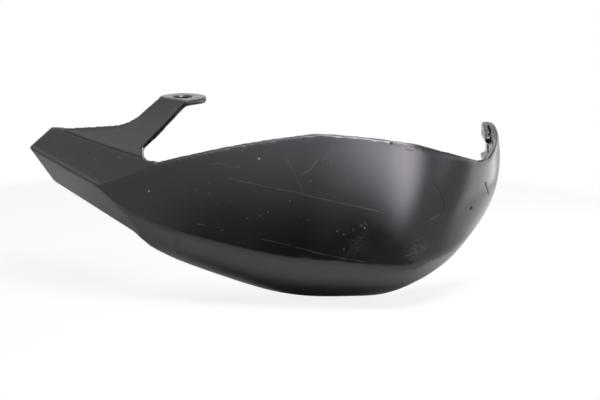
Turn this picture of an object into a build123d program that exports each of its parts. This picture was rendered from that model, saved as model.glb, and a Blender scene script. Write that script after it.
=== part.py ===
"""Left hand guard of a motorcycle: one moulded shell with a perch eye and a bar-end ear.

The origin is the centre of the perch eye on its seating face. X runs outboard to the
bar end, Y rearwards to the rider and Z up along the eye's bore. Sizes are millimetres.
"""
import os
from math import cos, radians, sin, sqrt

from build123d import *

# Wall of the moulding, the rounding of its ridges and the size of the blanks and cutters
WALL = 3.0
RIDGE_ROUND = 2.0
FOLD_ROUND = 4.0
BEAK_ROUND = 1.2
SPARE = 2.0
LAP = 1.0
REACH = 400.0

# Main panel: a shallow barrel that faces forwards and leans back at the top
PANEL_CENTRE_X = 108.0
PANEL_FRONT_Y = -56.0
PANEL_RADIUS = 500.0
PANEL_LEAN_RADIUS = 250.0
PANEL_UPRIGHT_Z = -106.0
PANEL_LEFT_X = -112.0
PANEL_STATIONS = 8
BLANK_TOP_Z = 4.0

# Side panel: turns round the grip end to the bar-end ear and tucks in at the bottom
FOLD_X = 134.0
FOLD_TURN = 17.0
SIDE_RADIUS = 77.5
SIDE_TUCK_RADIUS = 62.0
SIDE_TUCK_TURN = 76.0
SIDE_UPRIGHT_Z = -36.0
SIDE_END_TURN = 116.0
SIDE_RIDGE_RISE = 9.5
SIDE_STATIONS = 6

# Ridge between the panels and the lower flange
RIDGE_LOW_X = 118.0
RIDGE_LOW_Z = -84.4
RIDGE_BREAK_X = -12.0
RIDGE_BREAK_RADIUS = 100.0

# Lower flange: curls under from the ridge towards the rider
FLANGE_START_SLOPE = 70.0
FLANGE_END_SLOPE = 5.0
FLANGE_BELLY_X = 68.0
FLANGE_BELLY_RADIUS = 48.5
FLANGE_LEFT_X = -2.0
FLANGE_LEFT_RADIUS = 39.0
FLANGE_FOLD_RADIUS = 28.0
FLANGE_EAR_SLOPE = 55.0
FLANGE_EAR_DROP = 7.0
FLANGE_BLANK = 60.0
FLANGE_RUN = 37.0

# Beak: two flat facets that run inboard and back to a point
BEAK_TIP_X = -94.5
BEAK_TIP_Y = 20.0
BEAK_TIP_Z = -31.2
BEAK_TIP = Vector(BEAK_TIP_X, BEAK_TIP_Y, BEAK_TIP_Z)
BEAK_TOP_X = -81.5
BEAK_TOP_Z = -19.9
BEAK_TOP = Vector(BEAK_TOP_X, BEAK_TOP_Z)
BEAK_ROOT_X = -49.2
BEAK_ROOT_Z = -44.975
BEAK_FLANGE_CORNER_X = -28.1
BEAK_FLANGE_CORNER_Y = -21.0
BEAK_FLANGE_CORNER_Z = -73.4
BEAK_FLANGE_CORNER = Vector(BEAK_FLANGE_CORNER_X, BEAK_FLANGE_CORNER_Y, BEAK_FLANGE_CORNER_Z)
BEAK_LOW_X = -81.0
BEAK_LOW_Z = -53.1
BEAK_LOW = Vector(BEAK_LOW_X, BEAK_LOW_Z)
JOG_X = -20.5
JOG_Z = -80.6
JOG = Vector(JOG_X, JOG_Z)

# Top edge of the main panel, seen from the front
NOTCH_X = -13.1
NOTCH_Z = -30.5
NOTCH_RADIUS = 5.2
NOTCH_CENTRE_X = -16.6
NOTCH_CENTRE_Z = -23.4
NOTCH_CENTRE = Vector(NOTCH_CENTRE_X, NOTCH_CENTRE_Z)
NOTCH_FALL = 0.3
RISE_X = 34.7
RISE_Z = -18.5
RISE = Vector(RISE_X, RISE_Z)
PEAK_X = 79.0
PEAK_Z = -11.9
PEAK = Vector(PEAK_X, PEAK_Z)
CREST_X = 106.0
CREST_Z = -13.8
CREST = Vector(CREST_X, CREST_Z)
FOLD_TOP_Z = -17.5
SLOPE_RUN = 19.5
SLOPE_Z = -23.8
DIP_RUN = 37.5
DIP_Z = -30.6

# Arm from the beak up to the perch eye, and the eye itself
ARM_LEFT_X = -73.6
ARM_LEFT_Z = -20.3
ARM_LEFT = Vector(ARM_LEFT_X, ARM_LEFT_Z)
ARM_RIGHT_X = -17.4
ARM_RIGHT_Z = -29.5
ARM_RIGHT = Vector(ARM_RIGHT_X, ARM_RIGHT_Z)
ARM_LAP = 0.08
ARM_SPARE = 0.2
ARM_EDGE_RUN = -79.0
ARM_EDGE_RISE = -3.5
ARM_EDGE = Vector(ARM_EDGE_RUN, ARM_EDGE_RISE)
ARM_CORNER_RUN = -30.5
ARM_CORNER_RISE = -14.0
ARM_CORNER = Vector(ARM_CORNER_RUN, ARM_CORNER_RISE)
ARM_CORNER_ROUND = 26.0
ARM_FOOT_RUN = -21.3
ARM_FOOT_RISE = -31.9
ARM_FOOT = Vector(ARM_FOOT_RUN, ARM_FOOT_RISE)
BEND_LEFT_X = -13.2
BEND_LEFT_Y = -0.1
BEND_LEFT = Vector(BEND_LEFT_X, BEND_LEFT_Y)
BEND_RIGHT_X = 3.4
BEND_RIGHT_Y = -16.1
BEND_RIGHT = Vector(BEND_RIGHT_X, BEND_RIGHT_Y)
EYE_THICKNESS = 3.2
EYE_RADIUS = 14.0
EYE_BORE = 10.5

# Ear at the bar end, measured from the bolt's bore
EAR_THICKNESS = 7.0
EAR_BORE = 6.5
EAR_BORE_Z = -31.4
EAR_FRONT = 35.0
EAR_BACK = 14.0
EAR_TOP = 14.0
EAR_TOP_FRONT = 6.0
EAR_LOW = 20.0
EAR_RISE_Y = -16.0
EAR_RISE_Z = 9.0
EAR_RISE = Vector(EAR_RISE_Y, EAR_RISE_Z)
EAR_HIP_Y = -9.0
EAR_HIP_Z = -45.0
EAR_HIP = Vector(EAR_HIP_Y, EAR_HIP_Z)
EAR_FOOT_Y = -30.0
EAR_FOOT_Z = -67.8
EAR_FOOT = Vector(EAR_FOOT_Y, EAR_FOOT_Z)
EAR_SEAT_FRONT = 22.0
EAR_HOOK = 3.2
EAR_RAIL_GAP = 9.8
EAR_RAIL_HEIGHT = 4.0
EAR_RAIL_DEPTH = 3.0
EAR_RAIL_LENGTH = 22.0


def panel_lean(z):
    return (z - PANEL_UPRIGHT_Z) ** 2 / (2 * PANEL_LEAN_RADIUS)


def side_lean(z):
    return (z - SIDE_UPRIGHT_Z) ** 2 / (2 * SIDE_TUCK_RADIUS)


def panel_y(x, z):
    """Depth of the main panel's face."""
    plan = PANEL_RADIUS - sqrt(PANEL_RADIUS**2 - (x - PANEL_CENTRE_X) ** 2)
    return PANEL_FRONT_Y + plan + panel_lean(z)


def panel_point(x, z):
    return Vector(x, panel_y(x, z), z)


def ridge_break(x):
    """Extra climb of the lower ridge near the beak."""
    return max(0.0, RIDGE_BREAK_X - x) ** 2 / (2 * RIDGE_BREAK_RADIUS)


def ridge_z(x):
    """Height of the lower ridge, from its low point up to the root of the beak and level from there."""
    x = max(x, BEAK_ROOT_X)
    climb = BEAK_ROOT_Z - ridge_break(BEAK_ROOT_X) - RIDGE_LOW_Z
    share = (RIDGE_LOW_X - x) / (RIDGE_LOW_X - BEAK_ROOT_X)
    return RIDGE_LOW_Z + climb * share**2 + ridge_break(x)


def flange_radius(x):
    """Radius of the flange's curl, largest in the belly."""
    end_x, end_radius = (FOLD_X, FLANGE_FOLD_RADIUS)
    if x < FLANGE_BELLY_X:
        end_x, end_radius = (FLANGE_LEFT_X, FLANGE_LEFT_RADIUS)
    share = min(1.0, ((x - FLANGE_BELLY_X) / (end_x - FLANGE_BELLY_X)) ** 2)
    return FLANGE_BELLY_RADIUS + (end_radius - FLANGE_BELLY_RADIUS) * share


def side_centre():
    """Plan centre of the side panel's turn."""
    turn = radians(FOLD_TURN)
    fold = Vector(FOLD_X, panel_y(FOLD_X, PANEL_UPRIGHT_Z))
    return fold - Vector(sin(turn), -cos(turn)) * SIDE_RADIUS


def flange_drop(slope):
    """Drop of a flange of unit radius that starts at a slope."""
    return cos(radians(FLANGE_END_SLOPE)) - cos(radians(slope))


def section(plane, lean, ridge, radius, inset, slope=FLANGE_START_SLOPE):
    """Closed section of the solid behind the panel and above the flange, drawn inset by a wall."""
    extra = SPARE if inset else 0.0

    def inward(z):
        return Vector(1, lean(z - 0.5) - lean(z + 0.5)).normalized()

    def face_point(z):
        return Vector(lean(z), z) + inward(z) * inset

    start, end = radians(slope), radians(FLANGE_END_SLOPE)
    flange_inward = Vector(sin(start), cos(start))
    corner = Vector(lean(ridge), ridge)
    mitre = inward(ridge) + flange_inward
    inner_corner = corner + mitre * (inset / (1 + inward(ridge).dot(flange_inward)))
    centre = corner + flange_inward * radius

    def curl(angle):
        return centre - Vector(sin(angle), cos(angle)) * (radius - inset)

    top_z = BLANK_TOP_Z + extra
    back_x = FLANGE_BLANK + extra
    lip = curl(end)
    back = lip + Vector(cos(end), -sin(end)) * ((back_x - lip.X) / cos(end))
    outline = [
        ThreePointArc(face_point(top_z), face_point((top_z + ridge) / 2), inner_corner),
        ThreePointArc(inner_corner, curl((start + end) / 2), lip),
        Polyline(lip, back, (back_x, top_z), face_point(top_z)),
    ]
    face = make_face(outline)
    if not inset:
        face = fillet(face.vertices().sort_by_distance(corner)[0], RIDGE_ROUND)
    return plane * face


def facing(point, turn=0.0):
    """Upright plane across the wall: its X runs inwards and its Y runs up."""
    angle = radians(turn)
    return Plane(point, x_dir=(-sin(angle), cos(angle), 0), z_dir=(cos(angle), sin(angle), 0))


def fold_section(inset):
    """Section at the upright fold, shared by the main panel and the side panel."""
    fold = (FOLD_X, panel_y(FOLD_X, PANEL_UPRIGHT_Z), 0)
    return section(facing(fold, FOLD_TURN), panel_lean, RIDGE_LOW_Z, FLANGE_FOLD_RADIUS, inset)


def main_body(inset):
    sections = []
    for k in range(PANEL_STATIONS):
        x = PANEL_LEFT_X + (FOLD_X - PANEL_LEFT_X) * k / PANEL_STATIONS
        plane = facing((x, panel_y(x, PANEL_UPRIGHT_Z), 0))
        sections.append(section(plane, panel_lean, ridge_z(x), flange_radius(x), inset))
    return loft(sections + [fold_section(inset)])


def side_body(inset):
    sections = [fold_section(inset)]
    fold_drop = FLANGE_FOLD_RADIUS * flange_drop(FLANGE_START_SLOPE)
    for k in range(1, SIDE_STATIONS + 1):
        share = k / SIDE_STATIONS
        turn = FOLD_TURN + (SIDE_END_TURN - FOLD_TURN) * share
        run = min(1.0, (turn - FOLD_TURN) / (SIDE_TUCK_TURN - FOLD_TURN))
        tuck = run**2 * (3 - 2 * run)
        point = side_centre() + Vector(sin(radians(turn)), -cos(radians(turn))) * SIDE_RADIUS
        slope = FLANGE_START_SLOPE + (FLANGE_EAR_SLOPE - FLANGE_START_SLOPE) * tuck
        drop = fold_drop + (FLANGE_EAR_DROP - fold_drop) * share**2

        def lean(z, tuck=tuck):
            return panel_lean(z) * (1 - tuck) + side_lean(z) * tuck

        ridge = RIDGE_LOW_Z + SIDE_RIDGE_RISE * sqrt(share)
        sections.append(section(facing(point, turn), lean, ridge, drop / flange_drop(slope), inset, slope))
    return loft(sections)


def beak_root():
    return panel_point(BEAK_ROOT_X, ridge_z(BEAK_ROOT_X))


def beak_notch():
    return panel_point(NOTCH_X, NOTCH_Z)


def beak_point(spot):
    """Point of the beak's upper facet at a spot of the front view."""
    normal = (beak_root() - BEAK_TIP).cross(beak_notch() - BEAK_TIP)
    run = normal.X * (spot.X - BEAK_TIP.X) + normal.Z * (spot.Y - BEAK_TIP.Z)
    return Vector(spot.X, BEAK_TIP.Y - run / normal.Y, spot.Y)


def facet(third, inset):
    """Everything in front of the flat facet through the beak's tip, its root and a third point."""
    normal = (beak_root() - BEAK_TIP).cross(third - BEAK_TIP).normalized()
    if normal.Y > 0:
        normal = -normal
    plane = Plane(BEAK_TIP - normal * inset, z_dir=normal)
    return extrude(plane * Rectangle(REACH, REACH), REACH)


def core(inset):
    """Solid inside the outer faces, or inside the inner faces when inset by the wall."""
    body = main_body(inset)
    body -= facet(beak_notch(), inset)
    body -= facet(BEAK_FLANGE_CORNER, inset)
    body += side_body(inset)
    return body.solids().sort_by(SortBy.VOLUME)[-1]


def rounded_core():
    """Outer solid with its fold and the ridges of the beak rounded."""
    body = core(0)
    fold = panel_point(FOLD_X, PANEL_UPRIGHT_Z / 2)
    body = fillet(body.edges().sort_by_distance(fold)[0], FOLD_ROUND)
    root = beak_root()
    spots = (root + BEAK_TIP) / 2, (root + beak_notch()) / 2, BEAK_FLANGE_CORNER
    ridges = [body.edges().sort_by_distance(spot)[0] for spot in spots]
    ridges += [edge for edge in body.edges() if (edge @ 0.5 - root).length < 3 * WALL]
    return fillet(ridges, BEAK_ROUND)


def front_outline():
    """Everything inside the shell's outline as seen from the front."""
    dip = Vector(FOLD_X + DIP_RUN, DIP_Z)
    fold = Vector(FOLD_X, FOLD_TOP_Z)
    slope = Vector(FOLD_X + SLOPE_RUN, SLOPE_Z)
    tip = Vector(BEAK_TIP.X, BEAK_TIP.Z)
    corner = Vector(BEAK_FLANGE_CORNER.X, BEAK_FLANGE_CORNER.Z)
    notch = Vector(NOTCH_X, NOTCH_Z)
    lap = Vector(0, LAP)
    below = (JOG.X, -REACH / 2), (REACH, -REACH / 2)
    outline = [
        Polyline(notch, ARM_RIGHT + lap, ARM_LEFT + lap, BEAK_TOP, tip, BEAK_LOW, corner, JOG),
        Polyline(JOG, *below, (REACH, DIP_Z), dip),
        ThreePointArc(dip, slope, fold),
        ThreePointArc(fold, CREST, PEAK),
        ThreePointArc(PEAK, RISE, notch),
    ]
    front = extrude(Plane.XZ * make_face(outline), REACH, both=True)
    ear = Pos(FOLD_X, side_centre().Y - EAR_FRONT, -REACH / 2) * Box(REACH, REACH, REACH, align=Align.MIN)
    return front + ear


def ear_cutter():
    """Cutter behind the dip that leaves the ear's outline as seen from the side."""
    bore = Vector(side_centre().Y, EAR_BORE_Z)
    dip = Vector(bore.X - EAR_FRONT, DIP_Z)
    top = bore + Vector(EAR_TOP_FRONT, EAR_TOP)
    low = bore + Vector(EAR_BACK, -EAR_LOW)
    foot = bore + EAR_FOOT
    outline = [
        ThreePointArc(dip, bore + EAR_RISE, top),
        Polyline(top, bore + Vector(EAR_BACK, EAR_TOP), low),
        ThreePointArc(low, bore + EAR_HIP, foot),
        Polyline(foot, (dip.X, -REACH / 2), dip),
    ]
    blank = Pos(dip.X, -REACH / 2) * Rectangle(REACH, REACH, align=Align.MIN)
    return extrude(Plane.YZ.offset(FOLD_X) * (blank - make_face(outline)), REACH)


def flange_cutter():
    """Cutter behind the flange's free edge, straight along the belly and round the side panel."""
    centre = side_centre()
    back_y = PANEL_FRONT_Y + FLANGE_RUN
    straight = Pos(JOG.X, back_y) * Rectangle(centre.X - JOG.X, REACH, align=Align.MIN)
    bend = Pos(centre.X, centre.Y) * Circle(centre.Y - back_y)
    return extrude(straight + bend, REACH, both=True)


def arm():
    """Plate that rises from the beak to the bend under the eye, with a slight twist."""
    root = beak_point(ARM_LEFT), beak_point(ARM_RIGHT)
    lift = Vector(0, 0, EYE_THICKNESS)
    bend = BEND_LEFT + lift, BEND_RIGHT + lift
    normal = (bend[1] - root[0]).cross(bend[0] - root[1]).normalized()

    def end(share):
        left = root[0] + (bend[0] - root[0]) * share
        right = root[1] + (bend[1] - root[1]) * share
        spare = (right - left) * ARM_SPARE
        left -= spare
        right += spare
        depth = normal * WALL
        return make_face(Polyline(left, right, right - depth, left - depth, close=True))

    blank = loft([end(-ARM_LAP), end(1)], ruled=True)
    plane = Plane(lift, x_dir=Vector(1, 0, 0) - normal * normal.X, z_dir=normal)
    left, right = plane.to_local_coords(bend[0]), plane.to_local_coords(bend[1])
    outline = Polyline(
        (left.X, left.Y),
        (right.X, right.Y),
        ARM_FOOT,
        (ARM_RIGHT.X, -REACH / 4),
        (ARM_EDGE.X, -REACH / 4),
        ARM_EDGE,
        ARM_CORNER,
        close=True,
    )
    face = make_face(outline)
    face = fillet(face.vertices().sort_by_distance(ARM_CORNER)[0], ARM_CORNER_ROUND)
    return blank & extrude(plane * face, REACH / 4, both=True)


def eye():
    """Flat tab round the bore, cut off along the bend."""
    tab = make_hull([Circle(EYE_RADIUS).edge(), Line(BEND_LEFT, BEND_RIGHT)])
    bend = Plane(BEND_LEFT, x_dir=BEND_RIGHT - BEND_LEFT, z_dir=(0, 0, 1))
    beyond = bend * Rectangle(REACH, REACH, align=(Align.CENTER, Align.MAX))
    return extrude(tab - beyond, EYE_THICKNESS)


def ear_seat():
    """Flat seat inside the ear with a hook along its top and a rail above and below the bolt."""
    centre = side_centre()
    bore = Vector(centre.X + SIDE_RADIUS - EAR_THICKNESS, centre.Y, EAR_BORE_Z)
    back = EAR_BACK + WALL

    def block(depth, low_y, low_z, high_z):
        size = (REACH, back - low_y, high_z - low_z)
        return Pos(bore + Vector(-depth, low_y, low_z)) * Box(*size, align=Align.MIN)

    start = -EAR_RAIL_LENGTH / 2
    rail = EAR_RAIL_GAP / 2
    seat = block(0, -EAR_SEAT_FRONT, -EAR_LOW, 2 * EAR_TOP)
    seat += block(EAR_RAIL_DEPTH, start, EAR_TOP - EAR_HOOK, 2 * EAR_TOP)
    seat += block(EAR_RAIL_DEPTH, start, rail, rail + EAR_RAIL_HEIGHT)
    seat += block(EAR_RAIL_DEPTH, start, -rail - EAR_RAIL_HEIGHT, -rail)
    return seat & side_body(0)


def guard():
    shell = rounded_core() - core(WALL) + ear_seat()
    shell = (shell & front_outline()) - ear_cutter() - flange_cutter()
    shell += arm()
    shell += eye()
    notch = Vector(NOTCH_CENTRE.X, beak_notch().Y, NOTCH_CENTRE.Y)
    shell -= Plane(notch, z_dir=(0, -1, NOTCH_FALL)) * Cylinder(NOTCH_RADIUS, REACH / 4)
    shell -= Cylinder(EYE_BORE / 2, 4 * EYE_THICKNESS)
    ear = side_centre() + Vector(SIDE_RADIUS, 0, EAR_BORE_Z)
    shell -= Pos(ear) * Rot(0, 90, 0) * Cylinder(EAR_BORE / 2, 4 * EAR_THICKNESS)
    return shell


os.makedirs("parts", exist_ok=True)
shell = guard()
export_step(shell, "parts/guard_shell.step")
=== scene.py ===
"""Hand guard for a motorcycle's left grip: a moulded shell of worn satin plastic on a pale studio floor."""
import math

import bmesh
import bpy
import numpy as np
from bpy.props import FloatProperty, FloatVectorProperty, IntProperty, PointerProperty
from bpy.types import Operator, Panel, PropertyGroup
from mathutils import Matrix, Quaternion, Vector
from mathutils.bvhtree import BVHTree
from mathutils.kdtree import KDTree


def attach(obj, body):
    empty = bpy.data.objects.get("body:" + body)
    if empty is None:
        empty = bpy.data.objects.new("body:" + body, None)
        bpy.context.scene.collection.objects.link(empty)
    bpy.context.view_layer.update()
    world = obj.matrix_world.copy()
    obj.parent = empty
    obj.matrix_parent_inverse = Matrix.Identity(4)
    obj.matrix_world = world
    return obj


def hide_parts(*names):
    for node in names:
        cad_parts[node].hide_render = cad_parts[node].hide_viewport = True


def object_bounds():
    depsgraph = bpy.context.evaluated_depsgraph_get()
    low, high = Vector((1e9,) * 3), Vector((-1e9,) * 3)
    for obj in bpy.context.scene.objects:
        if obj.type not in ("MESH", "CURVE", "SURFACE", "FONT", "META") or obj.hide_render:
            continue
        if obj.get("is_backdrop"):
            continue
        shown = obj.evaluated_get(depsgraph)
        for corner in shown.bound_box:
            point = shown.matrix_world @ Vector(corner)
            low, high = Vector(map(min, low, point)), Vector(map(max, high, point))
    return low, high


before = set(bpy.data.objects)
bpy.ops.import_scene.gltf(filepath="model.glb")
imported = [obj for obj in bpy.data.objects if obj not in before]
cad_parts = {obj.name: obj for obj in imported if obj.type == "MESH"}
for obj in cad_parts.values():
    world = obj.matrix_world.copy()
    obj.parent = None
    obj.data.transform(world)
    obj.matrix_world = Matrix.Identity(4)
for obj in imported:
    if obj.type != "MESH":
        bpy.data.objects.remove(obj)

bl_info = {
    "name": "Hand Guard",
    "version": (1, 0, 0),
    "blender": (4, 5, 0),
    "location": "3D View > Sidebar > Hand Guard",
    "description": "Builds a worn moulded hand guard and the studio that it stands in",
    "category": "Object",
}

MM = 0.001
CAD_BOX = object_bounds()
CAD_LOW, CAD_HIGH = CAD_BOX
SHELL_NODE = "guard_shell"
GLEAM_COLOUR = (0.965, 0.925, 1.0)

# Fine moulded lines, as the points they run through in mm: the groove between beak and arm, and the
# flange's step.
ARM_GROOVE = ((-72.0, 17.3, -20.9), (-49.0, -1.3, -24.9), (-20.5, -24.0, -29.3))
FLANGE_STEP = ((-1.5, -40.9, -68.3), (-1.7, -35.6, -76.8), (-2.1, -28.0, -85.2))

# Line across the flange below the side panel's fold, in mm, where the moulding runs on without an edge.
FLANGE_BLEND = (
    (133.5, -53.6, -86.6), (132.3, -49.7, -92.8), (130.5, -44.0, -98.1), (127.1, -32.7, -102.6),
    (124.6, -22.0, -103.4),
)

# Box that holds the main panel's top rim, in mm.
TOP_RIM = ((4.0, -60.0, -34.0), (150.0, -12.0, -8.0))

# Where the flange swells out most below the fold, in mm.
FOLD_BELLY = (136.0, -45.0, -95.5)

# Sizes of these lines and places, in mm. Between the two numbers of a pair the effect fades.
GROOVE_HALF_WIDTH = 1.1
STEP_HALF_WIDTH = 0.3
STEP_FADE = 12.0
STEP_DEPTHS_BELOW_EYE = (70.5, 75.0)
BLEND_HALF_WIDTH = 2.2
SWELL_RADII = (3.0, 20.0)
RIM_REACH = (1.0, 2.6)

# Spacing of the points that stand for edges and lines, in mm.
EDGE_SPACING = 0.12
LINE_SPACING = 0.2
RIM_SPACING = 0.4
CREASE_SPACING = 0.6

# Widths of the patterns in the wear, in mm: gaps in the scratches, wobble of the marks and how far it moves
# them, streaks and haze of the scuffs, dust, rubbed edges with their painted sheen, and patches of gloss.
BREAK_SIZE = 2.2
WOBBLE_SIZE = 4.0
WOBBLE_REACH = 0.7
STREAK_SIZE = 0.8
HAZE_SIZE = 2.4
DUST_SIZE = 1.1
RUB_AND_SHEEN_SIZE = 3.0
CLOUD_SIZE = 26.0

# Depths of scratches and gouges and the height of specks, in mm.
SCRATCH_DEPTH = 0.02
GOUGE_DEPTH = 0.04
SPECK_HEIGHT = 0.03

# Gap up to which corners of the CAD mesh are joined, in mm.
MERGE_GAP = 0.002

# Smoothing passes along the sharp edges, and over the faces' normals between them.
ALONG_EDGE_PASSES = 6
FACE_NORMAL_PASSES = 40

# Soft boxes: name, level, azimuth and elevation in degrees, distance, width and height in m, lean in degrees.
ROOM_LAMPS = (
    ("top_lamp", "top_level", 37.0, 62.5, 0.55, 0.35, 0.3, 0.0),
    ("side_lamp", "side_level", 103.0, 6.5, 0.3, 0.23, 0.18, 0.0),
)

# Soft boxes that only the plastic's gloss mirrors, in the same form.
GLEAM_LAMPS = (
    ("key_lamp", "key_level", 21.8, 24.5, 1.25, 0.56, 0.64, 25.0),
    ("right_lamp", "right_level", 66.0, 18.0, 1.2, 0.6, 0.36, 0.0),
    ("fill_lamp", "fill_level", -15.0, 34.0, 1.4, 0.85, 0.5, 0.0),
    ("left_lamp", "left_level", -84.0, 33.0, 1.2, 0.62, 0.3, 0.0),
    ("edge_lamp", "left_level", -120.0, 8.0, 1.2, 0.4, 0.25, 0.0),
    ("back_lamp", "back_level", 170.0, 62.0, 1.1, 0.9, 0.6, 0.0),
    ("rim_lamp", "rim_level", -8.0, 60.0, 1.2, 1.1, 0.62, 0.0),
)

# Floor and backdrop: their extents in m, where they fade, and how white the camera sees the floor at the guard.
FLOOR_CORNERS = ((-1.2, -0.205), (1.4, -0.205), (1.4, 1.6), (-1.2, 1.6))
FLOOR_FADE = (0.24, 0.38)
FLOOR_FRONT_FADE = (0.11, 0.19)
FLOOR_WHITE = 0.85
BACKDROP_CORNERS = ((-0.75, -0.6), (0.7, -0.6), (0.7, 0.6), (-0.75, 0.6))
BACKDROP_Y = -1.3
BACKDROP_FADE = (-0.05, 0.5)
WORLD_FILL = 0.14

# Scratches on the outer skin: width in mm, strength, then the points they run through as (x, z) in mm.
SCRATCHES = (
    (0.45, 0.55, (28.5, -37.1), (43.8, -39.9)),
    (0.42, 0.45, (43.8, -39.9), (54.6, -41.8), (63.1, -43.2), (80.0, -46.9), (102.5, -51.6), (116.1, -54.3)),
    (0.60, 0.60, (9.5, -62.7), (14.2, -63.6)),
    (0.45, 0.45, (47.2, -70.3), (59.7, -72.7), (74.4, -76.4), (89.1, -79.6), (105.4, -82.3)),
    (0.45, 0.50, (17.6, -29.7), (22.2, -29.0), (25.6, -29.5), (34.7, -30.9)),
    (0.42, 0.60, (69.9, -33.9), (75.0, -30.6), (78.3, -26.2)),
    (0.35, 0.40, (81.2, -26.2), (88.5, -18.0)),
    (0.55, 0.60, (141.8, -59.8), (148.2, -57.1)),
    (0.55, 0.40, (102.8, -62.6), (103.4, -60.4), (105.4, -60.0), (106.6, -61.6)),
    (0.60, 0.22, (108.0, -65.0), (102.0, -70.0), (97.0, -76.0), (94.0, -81.0)),
    (0.50, 0.20, (104.0, -68.0), (99.0, -72.0), (96.0, -79.0)),
    (0.50, 0.25, (106.0, -70.0), (101.0, -75.0), (99.0, -80.5)),
    (0.40, 0.40, (128.0, -79.0), (134.0, -77.5), (139.0, -74.0)),
    (0.40, 0.35, (131.0, -81.0), (137.0, -78.0), (141.0, -73.5)),
    (0.35, 0.35, (134.0, -70.0), (138.0, -69.0), (141.0, -71.0)),
    (0.35, 0.35, (60.0, -24.0), (66.0, -33.5), (70.5, -44.0)),
    (0.30, 0.30, (20.0, -52.0), (31.0, -49.4), (40.0, -49.9)),
)

# Dark gouges, and painted shade along the groove between beak and arm, in the same form.
GOUGES_AND_GROOVE_SHADE = (
    (0.70, 0.60, (142.3, -37.6), (146.4, -41.7), (148.7, -45.3), (150.5, -50.0), (150.0, -55.1)),
    (2.00, 0.90, (167.3, -57.2), (167.6, -57.4)),
    (1.10, 0.80, (176.3, -44.2), (179.0, -52.2)),
    (1.20, 0.80, (119.6, -16.9), (120.6, -16.7)),
    (1.60, 0.22, (128.6, -20.3), (132.6, -21.0)),
    (0.70, 0.55, (-72.0, -20.9), (-49.0, -24.9), (-20.5, -29.3)),
)

# Chips and dust specks on the outer skin: (x, z, radius) in mm.
SPECKS = (
    (45.5, -26.2, 0.85), (-17.8, -46.3, 0.85), (35.9, -21.6, 0.5), (17.0, -40.2, 0.42), (17.0, -45.7, 0.42),
    (9.0, -44.4, 0.42), (24.5, -66.0, 0.55), (50.7, -55.1, 0.45), (63.1, -48.7, 0.42), (68.8, -57.5, 0.38),
    (73.3, -59.1, 0.42), (38.7, -58.9, 0.38), (46.1, -57.5, 0.42), (75.0, -37.6, 0.42), (81.2, -30.5, 0.38),
    (86.2, -26.7, 0.38), (89.6, -65.0, 0.45), (93.6, -66.7, 0.45), (98.6, -64.4, 0.45), (93.6, -75.0, 0.5),
    (105.2, -63.2, 0.6), (103.9, -61.6, 0.45),
    (-83.3, -26.3, 0.42), (-78.4, -27.8, 0.42), (-65.8, -34.5, 0.5), (-51.3, -32.5, 0.42),
    (-36.5, -30.0, 0.42), (-53.7, -39.5, 0.42),
)

# Rubbed patches on the outer skin: (x, z, half width, half height) in mm.
SCUFFS = (
    (102.0, -72.0, 9.0, 10.0), (135.0, -74.5, 11.0, 9.0), (95.8, -37.9, 4.0, 3.0),
)


class HandGuardShell(PropertyGroup):
    """Sizes of the shell's skin."""
    skin_step: FloatProperty(
        name="Skin Step", description="Width of the skin's mesh cells", default=0.96 * MM, unit="LENGTH")
    edge_passes: IntProperty(
        name="Edge Passes", description="Smoothing passes that round the moulded edges", default=4)
    rim_passes: IntProperty(
        name="Rim Passes", description="More smoothing passes that round the main panel's top rim", default=9)
    fairing_passes: IntProperty(
        name="Fairing Passes", description="Smoothing passes over the open skin, away from the edges",
        default=30)
    shading_passes: IntProperty(
        name="Shading Passes", description="Smoothing passes over the open skin's normals", default=500)
    crease_angle: FloatProperty(
        name="Crease Angle", description="Fold past which a line of the moulding counts as an edge",
        default=math.radians(9.0), subtype="ANGLE")
    tight_radius: FloatProperty(
        name="Tight Radius", description="Rounding below which a line of the moulding counts as an edge",
        default=3.2 * MM, unit="LENGTH")
    sharp_angle: FloatProperty(
        name="Sharp Angle", description="Fold past which an edge is cut sharp before it is rounded",
        default=math.radians(40.0), subtype="ANGLE")
    fold_swell: FloatProperty(
        name="Fold Swell", description="How far the flange swells out below the side panel's fold",
        default=1.0 * MM, unit="LENGTH")
    groove_depth: FloatProperty(
        name="Groove Depth", description="Depth of the groove between beak and arm",
        default=0.5 * MM, unit="LENGTH")
    step_depth: FloatProperty(
        name="Step Depth", description="Depth of the step across the flange", default=0.4 * MM, unit="LENGTH")
    round_reach: FloatProperty(
        name="Round Reach", description="Width beside a sharp edge over which its rounding shades",
        default=1.3 * MM, unit="LENGTH")
    edge_reach: FloatProperty(
        name="Edge Reach", description="Width beside an edge that keeps its moulded shape",
        default=1.2 * MM, unit="LENGTH")
    open_reach: FloatProperty(
        name="Open Reach", description="Distance from an edge where the skin is wholly open",
        default=3.5 * MM, unit="LENGTH")


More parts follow.
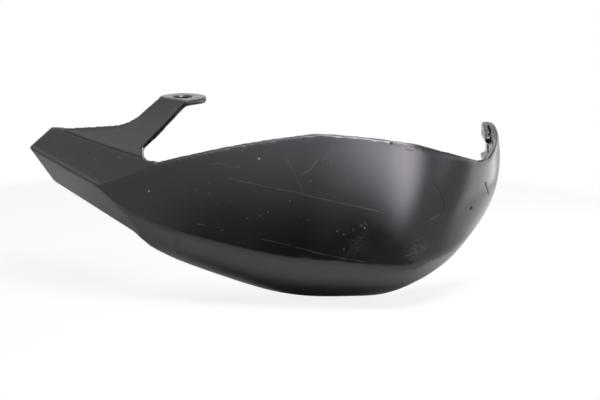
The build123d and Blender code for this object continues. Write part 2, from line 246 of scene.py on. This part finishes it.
class HandGuardPlastic(PropertyGroup):
    """Finish of the black plastic, its wear and the painted sheen on its edges."""
    colour: FloatVectorProperty(
        name="Colour", description="Colour of the moulded plastic", subtype="COLOR", size=4,
        default=(0.0028, 0.0027, 0.0031, 1.0), min=0.0, max=1.0)
    # Also the colour of the painted sheen on convex edges.
    wear_and_sheen_colour: FloatVectorProperty(
        name="Worn Colour", description="Colour of the plastic where it is scratched",
        subtype="COLOR", size=4, default=(0.040, 0.040, 0.041, 1.0), min=0.0, max=1.0)
    chip_colour: FloatVectorProperty(
        name="Chip Colour", description="Colour of chips and dust", subtype="COLOR", size=4,
        default=(0.20, 0.197, 0.19, 1.0), min=0.0, max=1.0)
    gleam_colour: FloatVectorProperty(
        name="Gleam Colour", description="Tint of the plastic's gloss", subtype="COLOR", size=4,
        default=(0.98, 0.945, 1.0, 1.0), min=0.0, max=1.0)
    roughness: FloatProperty(
        name="Roughness", description="Roughness of the satin skin", default=0.195, subtype="FACTOR")
    grain_size: FloatProperty(
        name="Grain Size", description="Width of the mould's fine grain", default=0.7 * MM, unit="LENGTH")
    grain_height: FloatProperty(
        name="Grain Height", description="Height of the mould's fine grain", default=0.07 * MM, unit="LENGTH")


class HandGuardStudio(PropertyGroup):
    """Camera, lamps and floor."""
    lens: FloatProperty(name="Lens", description="Focal length of the camera in mm", default=96.66)
    camera_pitch: FloatProperty(
        name="Camera Pitch", description="How far the camera looks down", default=math.radians(13.0),
        subtype="ANGLE")
    camera_distance: FloatProperty(
        name="Camera Distance", description="From the camera to the point that it looks at", default=0.9,
        unit="LENGTH")
    camera_aim: FloatVectorProperty(
        name="Camera Aim", description="Point at the middle of the picture",
        default=(0.06875, -0.056, -0.0461), subtype="TRANSLATION", unit="LENGTH")
    floor_colour: FloatVectorProperty(
        name="Floor Colour", description="Colour of the pale floor", subtype="COLOR", size=4,
        default=(0.9, 0.9, 0.9, 1.0), min=0.0, max=1.0)
    key_level: FloatProperty(
        name="Key Level", description="Brightness of the soft box at the front right", default=9.0)
    fill_level: FloatProperty(
        name="Fill Level", description="Brightness of the broad soft box above the camera", default=1.0)
    top_level: FloatProperty(
        name="Top Level", description="Brightness of the soft box above the guard", default=13.2)
    left_level: FloatProperty(
        name="Left Level", description="Brightness of the soft boxes at the beak's end", default=1.25)
    side_level: FloatProperty(
        name="Side Level", description="Brightness of the soft box at the outer end", default=2.7)
    back_level: FloatProperty(
        name="Back Level", description="Brightness of the soft box behind and above the guard", default=4.0)
    rim_level: FloatProperty(
        name="Rim Level", description="Brightness of the soft box high above the camera that lights the rims",
        default=5.0)
    right_level: FloatProperty(
        name="Right Level", description="Brightness of the soft box above the side panel", default=1.7)


class NodeBench:
    """Adds nodes to one node tree and wires them up."""

    def __init__(self, tree):
        self.tree = tree

    def put(self, kind, feeds=None, **settings):
        """Adds a node, sets its own settings, then links or sets the named or numbered inputs."""
        node = self.tree.nodes.new(kind)
        for key, value in settings.items():
            setattr(node, key, value)
        for key, value in (feeds or {}).items():
            if isinstance(value, bpy.types.NodeSocket):
                self.tree.links.new(value, node.inputs[key])
            else:
                node.inputs[key].default_value = value
        return node

    def math(self, operation, first, second=0.0, third=0.0):
        """One step of arithmetic."""
        return self.put("ShaderNodeMath", {0: first, 1: second, 2: third}, operation=operation).outputs[0]

    def vector(self, operation, first, second=(0.0, 0.0, 0.0)):
        """One step of vector arithmetic."""
        return self.put("ShaderNodeVectorMath", {0: first, 1: second}, operation=operation)

    def ramp(self, value, low, high, to_low=0.0, to_high=1.0):
        """A smooth step of a value from one range to another."""
        node = self.put("ShaderNodeMapRange", {"Value": value}, interpolation_type="SMOOTHSTEP")
        for key, number in (("From Min", low), ("From Max", high), ("To Min", to_low), ("To Max", to_high)):
            node.inputs[key].default_value = number
        return node.outputs[0]

    def noise(self, point, size, detail=2.0, roughness=0.5):
        """Cloudy noise with features of the given size."""
        feeds = {"Vector": point, "Scale": 1.0 / size, "Detail": detail, "Roughness": roughness}
        return self.put("ShaderNodeTexNoise", feeds).outputs[0]

    def tint(self, amount, under, over):
        """One colour over another by an amount."""
        return self.put("ShaderNodeMix", {0: amount, 6: under, 7: over}, data_type="RGBA").outputs[2]


def front_point(x, z):
    """A point of the front view, given in mm, in metres."""
    return (x * MM, 0.0, z * MM)


def stroke_group():
    """Node group that gives how far a point lies inside a straight scratch."""
    tree = bpy.data.node_groups.new("scratch_stroke", "ShaderNodeTree")
    face = tree.interface
    for name in ("Point", "From", "To"):
        face.new_socket(name, in_out="INPUT", socket_type="NodeSocketVector")
    face.new_socket("Half Width", in_out="INPUT", socket_type="NodeSocketFloat")
    face.new_socket("Mask", in_out="OUTPUT", socket_type="NodeSocketFloat")
    bench = NodeBench(tree)
    given = bench.put("NodeGroupInput").outputs
    out = bench.put("NodeGroupOutput")
    reach = bench.vector("SUBTRACT", given["Point"], given["From"]).outputs[0]
    run = bench.vector("SUBTRACT", given["To"], given["From"]).outputs[0]
    along = bench.vector("DOT_PRODUCT", reach, run).outputs[1]
    length = bench.vector("DOT_PRODUCT", run, run).outputs[1]
    share = bench.put("ShaderNodeClamp", {"Value": bench.math("DIVIDE", along, length)}).outputs[0]
    foot = bench.put("ShaderNodeVectorMath", {0: run, 3: share}, operation="SCALE").outputs[0]
    gap = bench.vector("DISTANCE", reach, foot).outputs[1]
    depth = bench.math("SUBTRACT", 1.0, bench.math("DIVIDE", gap, given["Half Width"]))
    tree.links.new(bench.ramp(depth, 0.0, 0.7), out.inputs["Mask"])
    return tree


def stroke_mask(bench, group, point, strokes):
    """Strength of the given strokes (scratches, gouges, painted groove shade) at a point of the front view."""
    mask = None
    for width, strength, *line in strokes:
        for start, end in zip(line, line[1:]):
            node = bench.put("ShaderNodeGroup", node_tree=group)
            bench.tree.links.new(point, node.inputs["Point"])
            node.inputs["From"].default_value = front_point(*start)
            node.inputs["To"].default_value = front_point(*end)
            node.inputs["Half Width"].default_value = 0.75 * width * MM
            cut = bench.math("MULTIPLY", node.outputs[0], strength)
            mask = cut if mask is None else bench.math("MAXIMUM", mask, cut)
    return mask


def speck_mask(bench, point):
    """Strength of the chips and dust specks at a point of the front view."""
    mask = None
    for x, z, radius in SPECKS:
        gap = bench.vector("DISTANCE", point, front_point(x, z)).outputs[1]
        spot = bench.ramp(gap, radius * MM, 0.35 * radius * MM, 0.0, min(1.0, radius))
        mask = spot if mask is None else bench.math("MAXIMUM", mask, spot)
    return mask


def scuff_mask(bench, point):
    """Strength of the rubbed patches at a point of the front view."""
    mask = None
    for x, z, half_width, half_height in SCUFFS:
        offset = bench.vector("SUBTRACT", point, front_point(x, z)).outputs[0]
        scaled = bench.vector("MULTIPLY", offset, (1.0 / (half_width * MM), 0.0, 1.0 / (half_height * MM)))
        patch = bench.ramp(bench.vector("LENGTH", scaled.outputs[0]).outputs[1], 1.0, 0.2)
        mask = patch if mask is None else bench.math("MAXIMUM", mask, patch)
    return mask


def shell_plastic(finish):
    """Satin black plastic with the mould's fine grain, rubbed edges, scratches, scuffs and specks.

    The rubbed edges also carry a painted sheen, and the groove between beak and arm a painted shade.
    """
    plastic = bpy.data.materials.new("shell_plastic")
    plastic.use_nodes = True
    tree = plastic.node_tree
    bench = NodeBench(tree)
    shader = tree.nodes["Principled BSDF"]
    shader.inputs["Specular Tint"].default_value = tuple(finish.gleam_colour)
    place = bench.put("ShaderNodeTexCoord").outputs["Object"]
    flat = bench.vector("MULTIPLY", place, (1.0, 0.0, 1.0)).outputs[0]
    feeds = {"Vector": place, "Scale": 1.0 / (WOBBLE_SIZE * MM), "Detail": 1.0}
    wobble = bench.put("ShaderNodeTexNoise", feeds).outputs[1]
    drift = bench.vector("ADD", wobble, (-0.5, -0.5, -0.5)).outputs[0]
    drift = bench.put("ShaderNodeVectorMath", {0: drift, 3: WOBBLE_REACH * MM}, operation="SCALE").outputs[0]
    flat = bench.vector("ADD", flat, bench.vector("MULTIPLY", drift, (1.0, 0.0, 1.0)).outputs[0]).outputs[0]
    outer = bench.put("ShaderNodeAttribute", attribute_name="outer_skin").outputs["Fac"]
    edge = bench.put("ShaderNodeAttribute", attribute_name="edge_near").outputs["Fac"]

    broken = bench.ramp(bench.noise(place, BREAK_SIZE * MM, 3.0), 0.22, 0.55)
    strokes = stroke_group()
    scratch = bench.math("MULTIPLY", stroke_mask(bench, strokes, flat, SCRATCHES), broken)
    scratch = bench.math("MULTIPLY", scratch, outer)
    # Gouges, and painted shade along the groove: dimmed gloss there stands in for the crease's shade.
    gouge_and_groove_shade = bench.math("MULTIPLY", stroke_mask(bench, strokes, flat, GOUGES_AND_GROOVE_SHADE), outer)
    speck = bench.math("MULTIPLY", speck_mask(bench, flat), outer)
    feeds = {"Vector": place, "Rotation": (0.0, math.radians(-35.0), 0.0), "Scale": (0.16, 1.0, 1.0)}
    streak_place = bench.put("ShaderNodeMapping", feeds).outputs[0]
    streak = bench.ramp(bench.noise(streak_place, STREAK_SIZE * MM, 3.0, 0.6), 0.52, 0.70)
    haze = bench.ramp(bench.noise(place, HAZE_SIZE * MM, 4.0, 0.65), 0.42, 0.68, 0.0, 0.5)
    scuff = bench.math("MAXIMUM", haze, bench.math("MULTIPLY", streak, 0.8))
    scuff = bench.math("MULTIPLY", scuff_mask(bench, flat), scuff)
    scuff = bench.math("MULTIPLY", scuff, outer)
    dust = bench.ramp(bench.noise(place, DUST_SIZE * MM, 4.0, 0.7), 0.70, 0.80)
    # Rubbed wear on convex edges, partly a painted sheen: paler colour there stands in for the rims' highlight.
    rub_and_sheen = bench.math("MULTIPLY", edge, bench.ramp(bench.noise(place, RUB_AND_SHEEN_SIZE * MM, 4.0, 0.65), 0.48, 0.72))
    cloud = bench.noise(place, CLOUD_SIZE * MM, 4.0, 0.6)

    # worn mixes the scratches, the scuffs and the rubbed edges with their painted sheen into one mask.
    worn = bench.math("MAXIMUM", scratch, bench.math("MULTIPLY", scuff, 0.6))
    worn = bench.math("MAXIMUM", worn, bench.math("MULTIPLY", rub_and_sheen, 0.35))
    colour = bench.tint(worn, tuple(finish.colour), tuple(finish.wear_and_sheen_colour))
    chips = bench.math("MAXIMUM", speck, bench.math("MULTIPLY", dust, 0.10))
    colour = bench.tint(chips, colour, tuple(finish.chip_colour))
    tree.links.new(colour, shader.inputs["Base Color"])

    rough = bench.ramp(cloud, 0.25, 0.75, finish.roughness - 0.035, finish.roughness + 0.035)
    rough = bench.math("ADD", rough, bench.math("MULTIPLY", worn, 0.18))
    rough = bench.math("ADD", rough, bench.math("MULTIPLY", chips, 0.30))
    rough = bench.math("ADD", rough, bench.math("MULTIPLY", gouge_and_groove_shade, 0.30))
    tree.links.new(rough, shader.inputs["Roughness"])
    # Less gloss at gouges; along the groove this is painted shade.
    tree.links.new(bench.ramp(gouge_and_groove_shade, 0.0, 1.0, 0.5, 0.08), shader.inputs["Specular IOR Level"])

    grain = bench.noise(place, finish.grain_size, 3.0, 0.55)
    height = bench.math("MULTIPLY", grain, finish.grain_height)
    height = bench.math("SUBTRACT", height, bench.math("MULTIPLY", scratch, SCRATCH_DEPTH * MM))
    height = bench.math("SUBTRACT", height, bench.math("MULTIPLY", gouge_and_groove_shade, GOUGE_DEPTH * MM))
    height = bench.math("ADD", height, bench.math("MULTIPLY", speck, SPECK_HEIGHT * MM))
    bump = bench.put("ShaderNodeBump", {"Height": height, "Strength": 1.0, "Distance": 1.0})
    tree.links.new(bump.outputs[0], shader.inputs["Normal"])
    return plastic


def merged_copy(node):
    """A copy of a CAD node's mesh with its loose triangles joined."""
    shape = bmesh.new()
    shape.from_mesh(node.data)
    bmesh.ops.remove_doubles(shape, verts=shape.verts, dist=MERGE_GAP * MM)
    shape.normal_update()
    return shape


def crease_points(shape, crease_angle, tight_radius, spacing):
    """Points along lines where the moulding folds past an angle or curves more tightly than a radius."""
    points = []
    for edge in shape.edges:
        angle = edge.calc_face_angle(0.0) if len(edge.link_faces) == 2 else 0.0
        if angle < math.radians(2.0):
            continue
        width = sum(face.calc_area() for face in edge.link_faces) / edge.calc_length()
        if angle > crease_angle or width < tight_radius * angle:
            points.extend(line_points((edge.verts[0].co, edge.verts[1].co), spacing))
    return points


def sharp_edges(shape, sharp_angle, spacing):
    """Points along the shape's sharp edges, and the middle of the two faces' normals at each."""
    points, middles = [], []
    for edge in shape.edges:
        if len(edge.link_faces) == 2 and edge.calc_face_angle(0.0) > sharp_angle:
            steps = line_points((edge.verts[0].co, edge.verts[1].co), spacing)
            points.extend(steps)
            first, second = edge.link_faces
            middles.extend([(first.normal + second.normal).normalized()] * len(steps))
    return points, np.array(middles)


def line_points(corners, spacing):
    """Points along a line through the given corners."""
    points = []
    for start, end in zip(corners, corners[1:]):
        count = max(1, math.ceil((end - start).length / spacing))
        points.extend(start.lerp(end, step / count) for step in range(count + 1))
    return points


def nearest_points(points, places):
    """For each place, the nearest of the points, how far it is and its number."""
    tree = KDTree(len(points))
    for index, point in enumerate(points):
        tree.insert(point, index)
    tree.balance()
    found = [tree.find(place) for place in places]
    return tuple(np.array([match[part] for match in found]) for part in (0, 2, 1))


def moulded_line(line):
    """The points of a moulded line in metres."""
    return [Vector(point) * MM for point in line]


def smooth_step(values, low, high):
    """Zero below low, one above high, and a soft rise between them."""
    share = np.clip((values - low) / (high - low), 0.0, 1.0)
    return share * share * (3.0 - 2.0 * share)


class SkinNet:
    """The skin's vertices and the edges that join them, for smoothing passes."""

    def __init__(self, mesh):
        self.count = len(mesh.vertices)
        ends = np.empty(2 * len(mesh.edges), dtype=np.int32)
        mesh.edges.foreach_get("vertices", ends)
        self.start, self.end = ends[0::2], ends[1::2]

    def gather(self, values):
        """Sum of each vertex's neighbours."""
        total = np.bincount(self.start, values[self.end], self.count)
        return total + np.bincount(self.end, values[self.start], self.count)

    def mean(self, field, weight):
        """Mean of each vertex's neighbours, each counted by its weight, or itself where they have none."""
        own = 1e-9
        share = self.gather(weight) + own
        columns = [(self.gather(column * weight) + own * column) / share for column in field.T]
        return np.stack(columns, axis=1)

    def smooth(self, field, weight, passes, pull=None):
        """The field after smoothing passes that don't cross vertices of no weight.

        Each vertex moves by its pull, or else by its weight.
        """
        share = 0.5 * (weight if pull is None else pull)[:, None]
        for _ in range(passes):
            field = field + share * (self.mean(field, weight) - field)
        return field


def skin_values(mesh, kind):
    """The coordinates or normals of a mesh's vertices."""
    values = np.empty(3 * len(mesh.vertices), dtype=np.float32)
    if kind == "co":
        mesh.vertices.foreach_get("co", values)
    else:
        mesh.vertex_normals.foreach_get("vector", values)
    return values.reshape(-1, 3).astype(float)


def cell_skin(shape, step):
    """An even net of cells over a closed shape."""
    raw = bpy.data.meshes.new("shell_raw")
    shape.to_mesh(raw)
    worker = bpy.data.objects.new("shell_worker", raw)
    bpy.context.collection.objects.link(worker)
    remesh = worker.modifiers.new("skin", "REMESH")
    remesh.mode = "VOXEL"
    remesh.voxel_size = step
    skin = bpy.data.meshes.new_from_object(worker.evaluated_get(bpy.context.evaluated_depsgraph_get()))
    bpy.data.objects.remove(worker)
    bpy.data.meshes.remove(raw)
    if not len(skin.vertices):
        raise RuntimeError("The shell's skin came out empty.")
    skin.name = SHELL_NODE + "_skin"
    return skin


def seated_places(shape, net, places, sizes):
    """The places laid on the shape's faces, or on its sharp edges if they are near one.

    With them come normals that turn evenly from each face to the middle of its edge, and the edge's distance.
    """
    faces = BVHTree.FromBMesh(shape)
    found = [faces.find_nearest(place) for place in places]
    places = np.array([hit[0] for hit in found])
    edge_points, middles = sharp_edges(shape, sizes.sharp_angle, EDGE_SPACING * MM)
    edge_places, gaps, which = nearest_points(edge_points, places)
    close = gaps < 0.5 * sizes.skin_step
    close[nearest_points(places, edge_points)[2]] = True
    places[close] = edge_places[close]
    gaps[close] = 0.0
    on_edge = close.astype(float)
    normals = net.smooth(np.array([hit[1] for hit in found]), 1.0 - on_edge, FACE_NORMAL_PASSES)
    turn = np.clip(1.0 - gaps / sizes.round_reach, 0.0, 1.0)[:, None]
    normals = normals * (1.0 - turn) + middles[which] * turn
    return net.smooth(places, on_edge, ALONG_EDGE_PASSES), normals, gaps


def line_marks(places, normals, sizes):
    """How far the groove and the flange's step press each place into the skin, less the swell at the fold."""
    outer = smooth_step(-normals[:, 1], 0.05, 0.3)
    _, groove_gap, _ = nearest_points(line_points(moulded_line(ARM_GROOVE), LINE_SPACING * MM), places)
    depth = sizes.groove_depth * smooth_step(-groove_gap, -GROOVE_HALF_WIDTH * MM, 0.0)
    near, step_gap, _ = nearest_points(line_points(moulded_line(FLANGE_STEP), LINE_SPACING * MM), places)
    past = smooth_step(places[:, 0] - near[:, 0], -STEP_HALF_WIDTH * MM, STEP_HALF_WIDTH * MM)
    upper, lower = STEP_DEPTHS_BELOW_EYE
    past *= smooth_step(-places[:, 2], upper * MM, lower * MM)
    depth += sizes.step_depth * past * smooth_step(-step_gap, -STEP_FADE * MM, 0.0)
    fold_gap = np.linalg.norm(places - np.array(FOLD_BELLY) * MM, axis=1)
    under = smooth_step(-normals[:, 2], 0.3, 0.6)
    full, none = SWELL_RADII
    return depth * outer - sizes.fold_swell * under * smooth_step(-fold_gap, -none * MM, -full * MM)


def moulded_skin(node, sizes):
    """The shell's mesh with rounded edges and a fair, even skin."""
    shape = merged_copy(node)
    skin = cell_skin(shape, sizes.skin_step)
    net = SkinNet(skin)
    places, edge_normals, edge_gaps = seated_places(shape, net, skin_values(skin, "co"), sizes)
    creases = crease_points(shape, sizes.crease_angle, sizes.tight_radius, CREASE_SPACING * MM)
    blend_gaps = nearest_points(line_points(moulded_line(FLANGE_BLEND), RIM_SPACING * MM), creases)[1]
    creases = [point for point, gap in zip(creases, blend_gaps) if gap > BLEND_HALF_WIDTH * MM]
    for line in (ARM_GROOVE, FLANGE_STEP):
        creases += line_points(moulded_line(line), CREASE_SPACING * MM)
    low, high = moulded_line(TOP_RIM)
    rim = [point for point in crease_points(shape, sizes.sharp_angle, 0.0, RIM_SPACING * MM)
           if all(low[axis] < point[axis] < high[axis] for axis in range(3))]
    shape.free()
    open_skin = smooth_step(nearest_points(creases, places)[1], sizes.edge_reach, sizes.open_reach)
    near_rim = smooth_step(-nearest_points(rim, places)[1], -RIM_REACH[1] * MM, -RIM_REACH[0] * MM)
    even = np.ones(net.count)
    places = net.smooth(places, even, sizes.edge_passes)
    places = net.smooth(places, even, sizes.rim_passes, near_rim)
    places = net.smooth(places, open_skin, sizes.fairing_passes)
    lay_skin(skin, places)
    normals = skin_values(skin, "normal")
    places = places - normals * line_marks(places, normals, sizes)[:, None]
    lay_skin(skin, places)
    skin.polygons.foreach_set("use_smooth", np.ones(len(skin.polygons), dtype=bool))

    normals = skin_values(skin, "normal")
    # The ridge mask (edge_near) picks out convex ridges for the rubbed wear and its painted sheen.
    bend = np.einsum("ij,ij->i", net.mean(places, even) - places, normals) / sizes.skin_step
    ridge = net.smooth(smooth_step(-bend, 0.03, 0.10)[:, None], even, 1)[:, 0]
    add_values(skin, "edge_near", ridge)
    add_values(skin, "outer_skin", smooth_step(-normals[:, 1], 0.02, 0.25))
    normals = net.smooth(normals, open_skin, sizes.shading_passes)
    near_edge = smooth_step(-edge_gaps, -1.6 * sizes.round_reach, -sizes.round_reach)[:, None]
    normals = normals * (1.0 - near_edge) + edge_normals * near_edge
    normals /= np.linalg.norm(normals, axis=1)[:, None]
    skin.normals_split_custom_set_from_vertices(normals.tolist())
    return skin


def lay_skin(skin, places):
    """Moves the skin's vertices to the places."""
    skin.vertices.foreach_set("co", places.astype(np.float32).ravel())
    skin.update()


def add_values(skin, name, values):
    """Stores one number for each of the skin's vertices."""
    store = skin.attributes.new(name, "FLOAT", "POINT")
    store.data.foreach_set("value", values.astype(np.float32))


class HANDGUARD_OT_shell(Operator):
    """Make the moulded shell with its worn plastic"""
    bl_idname = "handguard.shell"
    bl_label = "Make Shell"

    def execute(self, context):
        scene = context.scene
        skin = moulded_skin(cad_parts[SHELL_NODE], scene.hand_guard_shell)
        skin.materials.clear()
        skin.materials.append(shell_plastic(scene.hand_guard_plastic))
        shell = bpy.data.objects.new("shell", skin)
        scene.collection.objects.link(shell)
        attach(shell, "root")
        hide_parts(SHELL_NODE)
        return {"FINISHED"}


def studio_direction(azimuth, elevation):
    """A direction from the guard: azimuth from the camera's side towards the outer end, in degrees."""
    turn, lift = math.radians(azimuth), math.radians(elevation)
    return Vector((math.sin(turn) * math.cos(lift), -math.cos(turn) * math.cos(lift), math.sin(lift)))


def soft_box(name, aim, level, azimuth, elevation, distance, width, height, lean):
    """A rectangular lamp that looks at the aim, as bright as the level says, and leans to the beak's side."""
    lamp = bpy.data.lights.new(name, "AREA")
    lamp.shape = "RECTANGLE"
    lamp.size = width
    lamp.size_y = height
    lamp.energy = level * math.pi * width * height
    holder = bpy.data.objects.new(name, lamp)
    way = studio_direction(azimuth, elevation)
    holder.location = aim + way * distance
    turn = way.to_track_quat("Z", "Y") @ Quaternion((0.0, 0.0, 1.0), math.radians(lean))
    holder.rotation_euler = turn.to_euler()
    holder.visible_camera = False
    bpy.context.scene.collection.objects.link(holder)
    return holder


def flat_sheet(name, corners):
    """A flat four-cornered sheet."""
    mesh = bpy.data.meshes.new(name)
    mesh.from_pydata(corners, [], [(0, 1, 2, 3)])
    sheet = bpy.data.objects.new(name, mesh)
    bpy.context.scene.collection.objects.link(sheet)
    return sheet


def seen_ray(bench):
    """One for rays from the camera and for rays that a gloss or glass sends on."""
    path = bench.put("ShaderNodeLightPath").outputs
    seen = bench.math("MAXIMUM", path["Is Camera Ray"], path["Is Glossy Ray"])
    return bench.math("MAXIMUM", seen, path["Is Transmission Ray"])


def white_world():
    """White to the camera and in reflections, and a quiet fill for the rest."""
    world = bpy.data.worlds.new("studio_world")
    bpy.context.scene.world = world
    world.use_nodes = True
    bench = NodeBench(world.node_tree)
    background = world.node_tree.nodes["Background"]
    background.inputs["Color"].default_value = (1.0, 1.0, 1.0, 1.0)
    level = bench.math("MULTIPLY_ADD", seen_ray(bench), 1.0 - WORLD_FILL, WORLD_FILL)
    world.node_tree.links.new(level, background.inputs["Strength"])


def floor_paint(colour, middle):
    """Pale matte floor that keeps the guard's shadow and runs out to plain white round it."""
    paint = bpy.data.materials.new("floor_paint")
    paint.use_nodes = True
    tree = paint.node_tree
    bench = NodeBench(tree)
    shader = tree.nodes["Principled BSDF"]
    shader.inputs["Base Color"].default_value = colour
    shader.inputs["Roughness"].default_value = 0.9
    shader.inputs["Specular IOR Level"].default_value = 0.1
    white = bench.put("ShaderNodeEmission", {"Color": (1.0, 1.0, 1.0, 1.0), "Strength": 1.0}).outputs[0]
    place = bench.put("ShaderNodeTexCoord").outputs["Object"]
    far = bench.ramp(bench.vector("DISTANCE", place, middle).outputs[1], *FLOOR_FADE)
    front = bench.vector("DOT_PRODUCT", place, (0.0, -1.0, 0.0)).outputs[1]
    near = bench.ramp(front, *FLOOR_FRONT_FADE, FLOOR_WHITE, 1.0)
    near = bench.math("MULTIPLY", bench.put("ShaderNodeLightPath").outputs["Is Camera Ray"], near)
    share = bench.math("MAXIMUM", near, bench.math("MULTIPLY", far, seen_ray(bench)))
    blend = bench.put("ShaderNodeMixShader", {0: share, 1: shader.outputs[0], 2: white})
    tree.links.new(blend.outputs[0], tree.nodes["Material Output"].inputs["Surface"])
    return paint


def backdrop_paint():
    """Backdrop behind the camera that runs from dark at the bottom to white at the top."""
    paint = bpy.data.materials.new("backdrop_paint")
    paint.use_nodes = True
    tree = paint.node_tree
    bench = NodeBench(tree)
    tree.nodes.remove(tree.nodes["Principled BSDF"])
    place = bench.put("ShaderNodeTexCoord").outputs["Object"]
    height = bench.vector("DOT_PRODUCT", place, (-0.08, 0.0, 1.0)).outputs[1]
    feeds = {"Color": (1.0, 1.0, 1.0, 1.0), "Strength": bench.ramp(height, *BACKDROP_FADE)}
    glow = bench.put("ShaderNodeEmission", feeds)
    tree.links.new(glow.outputs[0], tree.nodes["Material Output"].inputs["Surface"])
    return paint


class HANDGUARD_OT_studio(Operator):
    """Set up the floor, the lamps and the camera"""
    bl_idname = "handguard.studio"
    bl_label = "Set Up Studio"

    def execute(self, context):
        scene = context.scene
        studio = scene.hand_guard_studio
        scene.view_settings.view_transform = "Standard"
        white_world()

        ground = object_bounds()[0].z
        aim = (CAD_LOW + CAD_HIGH) / 2.0
        floor = flat_sheet("floor", [(x, y, ground) for x, y in FLOOR_CORNERS])
        floor.data.materials.append(floor_paint(tuple(studio.floor_colour), (aim.x, aim.y, ground)))
        floor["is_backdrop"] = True
        backdrop = flat_sheet("backdrop", [(x, BACKDROP_Y, z) for x, z in BACKDROP_CORNERS])
        backdrop.data.materials.append(backdrop_paint())
        backdrop.visible_camera = False
        backdrop.visible_diffuse = False
        backdrop.visible_shadow = False
        backdrop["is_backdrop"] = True

        for name, level, *seat in ROOM_LAMPS:
            soft_box(name, aim, getattr(studio, level), *seat)
        for name, level, *seat in GLEAM_LAMPS:
            gleam = soft_box(name, aim, getattr(studio, level), *seat)
            gleam.visible_diffuse = False
            gleam.data.color = GLEAM_COLOUR

        camera = bpy.data.cameras.new("camera")
        camera.sensor_fit = "HORIZONTAL"
        camera.sensor_width = 36.0
        camera.lens = studio.lens
        holder = bpy.data.objects.new("camera", camera)
        pitch = studio.camera_pitch
        back = Vector((0.0, -math.cos(pitch), math.sin(pitch)))
        holder.location = Vector(studio.camera_aim) + back * studio.camera_distance
        holder.rotation_euler = (math.pi / 2.0 - pitch, 0.0, 0.0)
        scene.collection.objects.link(holder)
        scene.camera = holder
        return {"FINISHED"}


class HANDGUARD_PT_sidebar(Panel):
    """Lists the steps that build the hand guard and their settings"""
    bl_idname = "HANDGUARD_PT_sidebar"
    bl_label = "Hand Guard"
    bl_space_type = "VIEW_3D"
    bl_region_type = "UI"
    bl_category = "Hand Guard"

    def draw(self, context):
        scene = context.scene
        for title, settings, step in (
            ("Shell", scene.hand_guard_shell, HANDGUARD_OT_shell.bl_idname),
            ("Plastic", scene.hand_guard_plastic, None),
            ("Studio", scene.hand_guard_studio, HANDGUARD_OT_studio.bl_idname),
        ):
            box = self.layout.box()
            box.label(text=title)
            for key in settings.__annotations__:
                box.prop(settings, key)
            if step:
                box.operator(step)


CLASSES = (
    HandGuardShell, HandGuardPlastic, HandGuardStudio,
    HANDGUARD_OT_shell, HANDGUARD_OT_studio, HANDGUARD_PT_sidebar,
)


def register():
    for item in CLASSES:
        bpy.utils.register_class(item)
    bpy.types.Scene.hand_guard_shell = PointerProperty(type=HandGuardShell)
    bpy.types.Scene.hand_guard_plastic = PointerProperty(type=HandGuardPlastic)
    bpy.types.Scene.hand_guard_studio = PointerProperty(type=HandGuardStudio)


def unregister():
    del bpy.types.Scene.hand_guard_studio
    del bpy.types.Scene.hand_guard_plastic
    del bpy.types.Scene.hand_guard_shell
    for item in reversed(CLASSES):
        bpy.utils.unregister_class(item)


def main():
    register()
    bpy.ops.handguard.shell()
    bpy.ops.handguard.studio()


if __name__ == "__main__":
    main()
